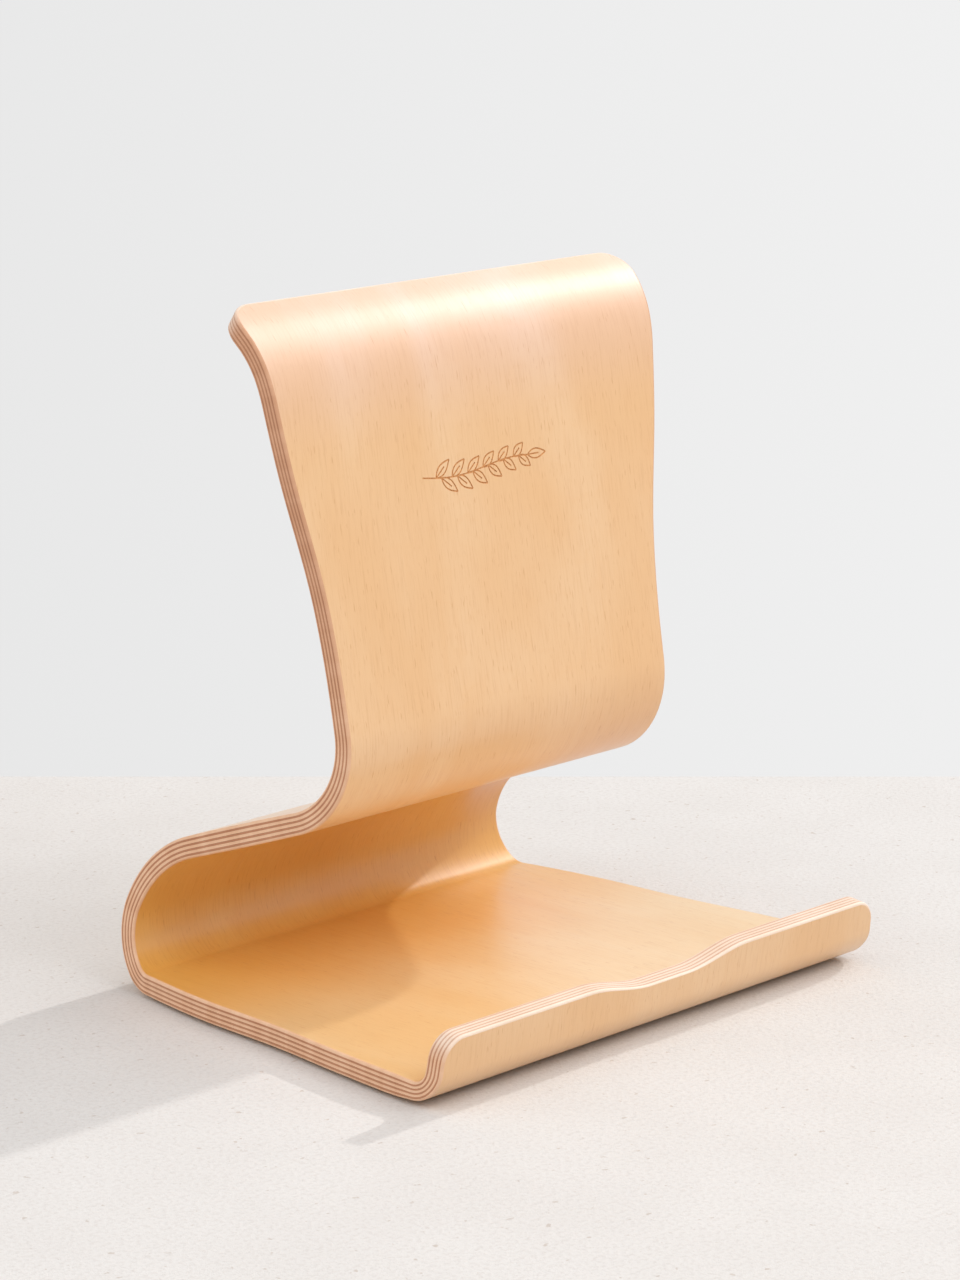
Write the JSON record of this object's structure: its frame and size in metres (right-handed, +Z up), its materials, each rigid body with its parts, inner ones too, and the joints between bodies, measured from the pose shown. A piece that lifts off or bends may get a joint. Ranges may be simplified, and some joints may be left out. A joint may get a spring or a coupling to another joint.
{
  "type": "phone stand",
  "caption": "Desk phone stand pressed from plywood: a low front lip with a shallow dip, a flat base, a rear bend, a forward arm and a waisted backrest with a rolled-back top.",
  "frame": {"origin": "on the table, under the middle of the stand's bounding box", "axes": "+Z up, the front lip towards -Y, +X to the right of someone facing the front"},
  "size_m": [0.1376, 0.1096, 0.1545],
  "materials": {
    "face_birch": "satin clear lacquer, grain running up the strip",
    "cross_birch": "end grain at the cut edges, sanded and clear lacquered",
    "pad_rubber": "matt black"
  },
  "bodies": {
    "root": {"back_veneer": "face_birch", "cross_ply_1": "cross_birch", "long_ply_1": "face_birch", "cross_ply_2": "cross_birch", "long_ply_2": "face_birch", "cross_ply_3": "cross_birch", "long_ply_3": "face_birch", "cross_ply_4": "cross_birch", "face_veneer": "face_birch", "pad_front_left": "pad_rubber", "pad_front_right": "pad_rubber", "pad_rear_left": "pad_rubber", "pad_rear_right": "pad_rubber"}
  },
  "joints": []
}
